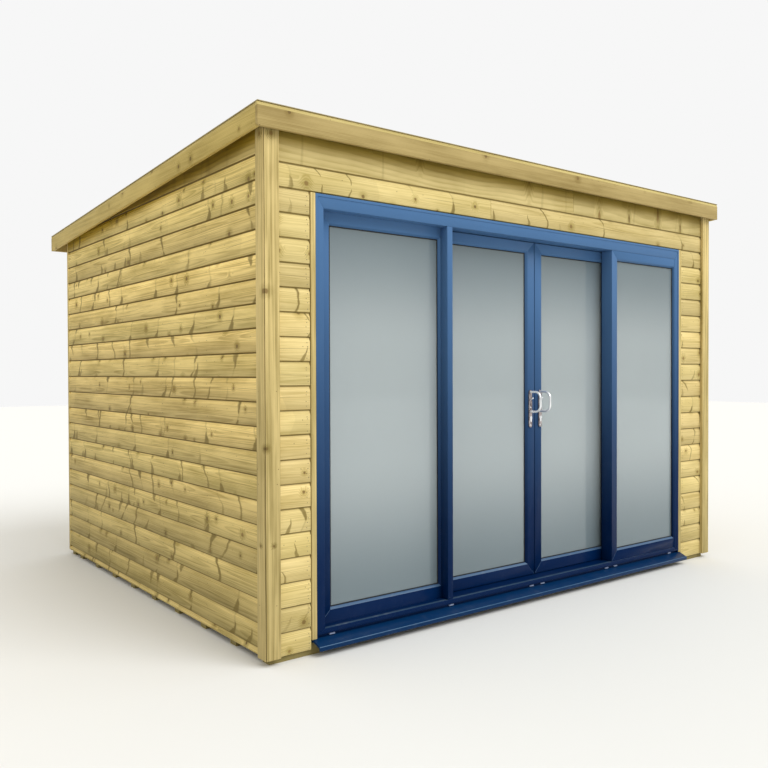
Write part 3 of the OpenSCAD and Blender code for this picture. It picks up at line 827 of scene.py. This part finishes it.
def drive_nails():
    """Nails where the boards cross the studs."""
    nail = make_nail()
    under_roof = 0.13
    studs = [0.03 + 0.564 * i for i in range(5)]
    nail_wall(nail, "left_wall_nails", (LEFT, BACK_IN, 0), -QUARTER, studs, SIDE_LINE,
              lambda column: roof_height(BACK_IN - column, under_roof))
    nail_wall(nail, "right_wall_nails", (RIGHT, FRONT_IN, 0), QUARTER,
              [DEPTH - stud for stud in studs], SIDE_LINE,
              lambda column: roof_height(FRONT_IN + column, under_roof))
    nail_wall(nail, "back_wall_nails", (RIGHT, BACK, 0), 2 * QUARTER,
              [0.11 + 0.553 * i for i in range(7)], SIDE_LINE,
              lambda column: roof_height(BACK, under_roof))
    nail_wall(nail, "front_nails_left", (LEFT, FRONT, 0), 0, [STRIP_LEFT - LEFT - 0.021],
              FRONT_LINE, lambda column: STRIP_TOP - 0.01, FRONT_NAIL_ROWS)
    nail_wall(nail, "front_nails_right", (STRIP_RIGHT, FRONT, 0), 0, [0.021], FRONT_LINE,
              lambda column: STRIP_TOP - 0.01, FRONT_NAIL_ROWS)
    discard(nail)


# ------------------------------ trims and roof

def open_mitres(piece, on_front):
    """Draws a corner board back from its mitre, which leaves a dark groove at the corner."""
    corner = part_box("front_corner_boards")
    open_up(piece)
    for hand in (-1, 1):
        pick(piece, "verts", lambda c: c.x * hand > 0 and abs(
            (corner[1].x - c.x * hand) - (c.y - corner[0].y)) < 0.0005 and c.y < FRONT + 0.0005)
        bpy.ops.transform.translate(value=(-hand * MITRE_GAP, 0, 0) if on_front
                                    else (0, MITRE_GAP, 0))
    close_up()


def build_trims():
    """Corner boards and the boards beside the door frame, with eased arrises."""
    for node, name, width in (("front_corner_boards", "front_corner_trims", 0.002),
                              ("side_corner_boards", "side_corner_trims", 0.002),
                              ("back_corner_boards", "back_corner_trims", 0.003),
                              ("door_reveal_boards", "reveal_trims", 0.002)):
        piece = copy_of(node, name)
        if "front_corner" in node or "side_corner" in node:
            open_mitres(piece, node.startswith("front"))
        ease(piece, width, 3)
        finish_piece(piece, "building", "pine_timber", corner_wood, node)


def is_strip(c, n):
    """Whether a face belongs to the strip along a fascia's top."""
    return c.z > roof_height(c.y, TOP_STRIP) and n.z < 0.7


def split_top(piece, faces_out):
    """Marks off the strip along a fascia's top and leans its face back a little."""
    open_up(piece)
    bpy.ops.mesh.select_all(action="SELECT")
    bpy.ops.mesh.bisect(plane_co=(0, ROOF_FRONT, ROOF_TOP - TOP_STRIP),
                        plane_no=(0, tan(ROOF_FALL), 1))
    for outward, on_face in faces_out:
        pick(piece, "verts", lambda c: on_face(c) and c.z > roof_height(c.y, TOP_STRIP - 0.004))
        bpy.ops.transform.translate(value=-STRIP_LEAN * Vector(outward))
    close_up()


def finish_fascia(board, node, wood, strip):
    """Eases a fascia's arrises and paints it, with the strip along its top in a paler wood: a painted
    highlight where the leaned-back strip catches the sky.
    """
    ease(board, 0.0022, 2, 25)
    finish_piece(board, "building", "pine_timber", wood, node)
    # Painted highlight: the strip along the top in paler wood
    paint_faces(board, strip, is_strip)


def build_fascias():
    """Fascia boards round the roof; the front one has a rounded corner at its left foot."""
    front = copy_of("front_fascia", "front_fascia_board")
    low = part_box("front_fascia")[0]
    split_top(front, [((0, -1, 0), lambda c: c.y < low.y + 0.0005)])
    open_up(front)
    pick(front, "edges", lambda c, d: abs(d.y) > 0.9 and c.z < low.z + 0.001 and c.x < 0)
    bpy.ops.mesh.bevel(offset=0.014, segments=5)
    close_up()
    finish_fascia(front, "front_fascia", front_fascia_wood, strip_highlight_wood)

    back = copy_of("back_fascia", "back_fascia_board")
    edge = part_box("back_fascia")[1].y
    split_top(back, [((0, 1, 0), lambda c: c.y > edge - 0.0005)])
    finish_fascia(back, "back_fascia", front_fascia_wood, strip_highlight_wood)

    sides = copy_of("side_fascias", "side_fascia_boards")
    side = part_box("side_fascias")[1].x
    split_top(sides, [((-1, 0, 0), lambda c: c.x < 0.0005 - side),
                      ((1, 0, 0), lambda c: c.x > side - 0.0005)])
    finish_fascia(sides, "side_fascias", side_fascia_wood, side_strip_highlight_wood)


# ------------------------------ patio door

def add_ring(name, x0, x1, z0, z1, face, width, thick):
    """A flat ring round an opening, standing out from face towards the front."""
    deselect()
    bpy.ops.mesh.primitive_plane_add(size=1, rotation=(radians(90), 0, 0),
                                     location=((x0 + x1) / 2, face, (z0 + z1) / 2))
    ring = bpy.context.object
    ring.scale = (x1 - x0, z1 - z0, 1)
    bpy.ops.object.transform_apply(location=True, rotation=True, scale=True)
    ring.name = ring.data.name = name
    open_up(ring)
    pick(ring, "faces", lambda c, n: True)
    bpy.ops.mesh.inset(thickness=width)
    bpy.ops.mesh.delete(type="FACE")
    bpy.ops.mesh.select_all(action="SELECT")
    bpy.ops.mesh.extrude_region_move(TRANSFORM_OT_translate={"value": (0, -thick, 0)})
    bpy.ops.mesh.select_all(action="SELECT")
    bpy.ops.mesh.normals_make_consistent(inside=False)
    close_up()
    return ring


def build_frame():
    """The door's outer frame: mitred profiles with a raised outer band, and a cill below."""
    for node in ("door_frame_head", "door_frame_sill", "door_frame_jamb_left",
                 "door_frame_jamb_right", "door_mullion"):
        piece = copy_of(node, node.replace("door_", "") + "_profile")
        ease(piece, 0.0014, 2)
        finish_piece(piece, "building", "door_blue", blue, node)
        if node == "door_frame_sill":
            open_up(piece)
            bpy.ops.mesh.select_all(action="SELECT")
            bpy.ops.mesh.bisect(plane_co=(0, FRONT + 0.020, 0), plane_no=(0, 1, 0))
            close_up()
            # Painted highlight, with dust, on the front part of the sill's top
            paint_faces(piece, blue_ledge_dust_and_highlight, lambda c, n: n.z > 0.4 and c.y < FRONT + 0.020)
    cill = copy_of("door_cill", "cill_profile")
    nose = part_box("door_cill")[0].y
    ease(cill, 0.004, 3)
    finish_piece(cill, "building", "door_blue", blue_cill_lit, "door_cill")
    # Painted highlight along the rounded top edge of the cill's nose
    paint_faces(cill, blue_nose_highlight, lambda c, n: n.y < -0.2 and n.z > 0.2 and c.y < nose + 0.008)
    band = add_ring("frame_outer_band", DOOR_LEFT + 0.0005, DOOR_RIGHT - 0.0005,
                    DOOR_FOOT + 0.0155, DOOR_TOP - 0.0005, FRONT, 0.013, 0.0026)
    ease(band, 0.0012, 2)
    finish_piece(band, "building", "door_blue", blue)


def score_mitre(panel, outer, inner, face):
    """Cuts a fine V groove into a panel's face, from an outer corner to the bead's corner."""
    run = inner - outer
    across = Vector((-run.z, 0, run.x)).normalized()
    open_up(panel)
    for aside in (-0.001, 0, 0.001):
        bpy.ops.mesh.select_all(action="SELECT")
        bpy.ops.mesh.bisect(plane_co=outer + across * aside, plane_no=across)

    def on_seam(c):
        along = (c - outer).dot(run) / run.length_squared
        return (abs((c - outer).dot(across)) < 0.0001 and abs(c.y - face) < 0.0003
                and -0.05 < along < 1.05)
    pick(panel, "verts", on_seam)
    bpy.ops.transform.translate(value=(0, 0.0014, 0))
    close_up()


def build_panels():
    """Glazed panels with mitre seams at their corners, sloped beads and rubber glass seals."""
    for node, (pane, body) in PANELS.items():
        panel = copy_of(node, node + "_profile")
        ease(panel, 0.0012, 2)
        low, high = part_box(node)
        glass_low, glass_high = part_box(pane)
        for is_right in (False, True):
            if node == "fixed_panel_right" and is_right:
                continue
            for is_top in (False, True):
                outer = Vector((high.x if is_right else low.x, low.y, high.z if is_top else low.z))
                inner = Vector((glass_high.x + BEAD_W if is_right else glass_low.x - BEAD_W, low.y,
                                glass_high.z + BEAD_W if is_top else glass_low.z - BEAD_W))
                score_mitre(panel, outer, inner, low.y)
        take(panel)
        bpy.ops.object.shade_smooth_by_angle(angle=radians(40))
        finish_piece(panel, body, "door_blue", blue, node)
        middle = (low.z + high.z) / 2
        # Painted highlight, with dust, on the beads' upward slopes in the lower half
        paint_faces(panel, blue_bead_dust_and_highlight, lambda c, n: n.z > 0.5 and n.y < -0.3 and c.z < middle
                    and c.z > low.z + 0.02)
        seal = add_ring(pane.replace("glass", "seal"), glass_low.x, glass_high.x, glass_low.z,
                        glass_high.z, glass_low.y - 0.0002, 0.0055, 0.0026)
        ease(seal, 0.0009, 2)
        finish_piece(seal, body, "roof_rubber", gasket)


# ------------------------------ handles

def make_screw():
    """A raised countersunk screw head with a slot, facing -Y."""
    deselect()
    bpy.ops.mesh.primitive_cylinder_add(vertices=20, radius=0.0038, depth=0.0016,
                                        rotation=(radians(90), 0, 0), location=(0, 0, 0))
    bpy.ops.object.transform_apply(location=True, rotation=True, scale=True)
    screw = bpy.context.object
    open_up(screw)
    pick(screw, "faces", lambda c, n: n.y < -0.9)
    bpy.ops.mesh.inset(thickness=0.0009, depth=0.0005)
    bpy.ops.mesh.inset(thickness=0.0008)
    bpy.ops.transform.resize(value=(0.25, 1, 1.3))
    bpy.ops.mesh.extrude_region_move(TRANSFORM_OT_translate={"value": (0, 0.0009, 0)})
    close_up()
    return screw


def make_lever():
    """The small latch lever inside a pull, a paddle that rises away from the plate."""
    lever = add_block("lever", (-0.0050, -0.026, -0.003), (0.0050, 0, 0.003))
    open_up(lever)
    pick(lever, "verts", lambda c: c.y > -0.001)
    bpy.ops.transform.resize(value=(0.6, 1, 1), center_override=(0, 0, 0))
    pick(lever, "edges", lambda c, d: abs(d.z) > 0.9 and c.y < -0.02)
    bpy.ops.mesh.bevel(offset=0.0045, segments=4)
    bpy.ops.mesh.select_all(action="SELECT")
    bpy.ops.transform.rotate(value=radians(38), orient_axis="X", center_override=(0, 0, 0))
    close_up()
    ease(lever, 0.0008, 2)
    return lever


def build_handles():
    """The D-shaped pulls on their plates, with screws, latch levers and keyholes."""
    screw, lever = make_screw(), make_lever()
    for side in ("left", "right"):
        node, body = "pull_handle_" + side, side + "_slider"
        low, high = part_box(node)
        middle, plate = (low.x + high.x) / 2, high.y - PLATE_T
        handle = copy_of(node, side + "_pull")
        ease(handle, 0.0009, 2, 50)
        finish_piece(handle, body, "handle_chrome", polished, node)
        # Painted reflection: the plates in the darker chrome
        paint_faces(handle, plate_chrome_painted_reflection, lambda c, n: c.y > plate - 0.0004)
        heads = [copy_to(screw, "head", (middle, plate - 0.0006, low.z + up))
                 for up in SCREW_HEIGHTS]
        finish_piece(join(heads, side + "_plate_screws"), body, "handle_chrome", polished)
        latch = copy_to(lever, side + "_latch_lever",
                        (middle, plate + 0.001, low.z + LEVER_HEIGHT))
        finish_piece(latch, body, "handle_chrome", polished)
        barrel_low, barrel_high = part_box("lock_" + side)
        centre = barrel_high.z - LOCK_R
        # The keyhole: a black block that stands in for the shade inside the key's slot
        slot = add_block(side + "_keyhole", (middle - 0.0012, barrel_low.y - 0.0003, centre - 0.0045),
                         (middle + 0.0012, barrel_low.y + 0.001, centre + 0.0045))
        ease(slot, 0.0004, 2)
        finish_piece(slot, body, "roof_rubber", gasket)
    discard(screw)
    discard(lever)


def build_brush():
    """The brush strip on the left panel's edge, where the two sliding panels meet."""
    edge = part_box("sliding_panel_left")
    brush = add_block("meeting_brush", (edge[1].x - 0.001, edge[0].y + 0.012, edge[0].z + 0.004),
                      (edge[1].x + 0.0038, edge[0].y + 0.024, edge[1].z - 0.004))
    open_up(brush)
    pick(brush, "faces", lambda c, n: n.x > 0.9)
    bpy.ops.mesh.inset(thickness=0.003, depth=0.0005)
    close_up()
    ease(brush, 0.0008, 2)
    finish_piece(brush, "left_slider", "roof_rubber", gasket)


# ------------------------------ studio

def make_camera():
    """A camera at eye height off the left front corner."""
    camera = bpy.data.cameras.new("camera")
    camera.lens = 38.03
    camera.sensor_width = 36
    stand = bpy.data.objects.new("camera", camera)
    bpy.context.scene.collection.objects.link(stand)
    stand.matrix_world = (Matrix.Translation(CAMERA_AT) @ Matrix.Rotation(CAMERA_TURN, 4, "Z")
                          @ Matrix.Rotation(CAMERA_TILT, 4, "X")
                          @ Matrix.Rotation(CAMERA_ROLL, 4, "Z"))
    bpy.context.scene.camera = stand


def make_floor():
    """A pale matt floor."""
    bpy.ops.mesh.primitive_plane_add(size=60, location=(0, 0, 0))
    floor = bpy.context.object
    floor.name = "studio_floor"
    paint = Finish("studio_floor_paint")
    floor.data.materials.append(paint.surface(Base_Color=(0.70, 0.70, 0.69, 1), Roughness=0.9))


def make_sky():
    """A soft sky that is brightest overhead, and an even backdrop where the camera looks."""
    world = bpy.data.worlds.new("studio")
    bpy.context.scene.world = world
    world.use_nodes = True
    nodes, links = world.node_tree.nodes, world.node_tree.links
    sky = nodes["Background"]
    sky.inputs["Color"].default_value = (1.0, 0.98, 0.92, 1)
    up = nodes.new("ShaderNodeSeparateXYZ")
    links.new(nodes.new("ShaderNodeTexCoord").outputs["Generated"], up.inputs[0])
    rise = nodes.new("ShaderNodeMapRange")
    links.new(up.outputs["Z"], rise.inputs["Value"])
    rise.inputs["To Min"].default_value = 0.62
    rise.inputs["To Max"].default_value = 1.25
    links.new(rise.outputs[0], sky.inputs["Strength"])
    backdrop = nodes.new("ShaderNodeBackground")
    backdrop.inputs["Color"].default_value = (1, 1, 1, 1)
    backdrop.inputs["Strength"].default_value = 0.93
    choice = nodes.new("ShaderNodeMixShader")
    links.new(nodes.new("ShaderNodeLightPath").outputs["Is Camera Ray"], choice.inputs[0])
    links.new(sky.outputs[0], choice.inputs[1])
    links.new(backdrop.outputs[0], choice.inputs[2])
    links.new(choice.outputs[0], nodes["World Output"].inputs["Surface"])


def make_key_light():
    """One wide soft light, from the front and a little from the right."""
    key = bpy.data.lights.new("key", "SUN")
    key.energy = 1.8
    key.color = (0.95, 0.97, 1.0)
    key.angle = radians(40)
    lamp = bpy.data.objects.new("key", key)
    bpy.context.scene.collection.objects.link(lamp)
    lamp.rotation_euler = (radians(42), 0, radians(22))


paint_cad_nodes()
build_walls()
drive_nails()
build_trims()
build_fascias()
build_frame()
build_panels()
build_handles()
build_brush()
make_camera()
make_floor()
make_sky()
make_key_light()
bpy.context.scene.view_settings.view_transform = "Standard"
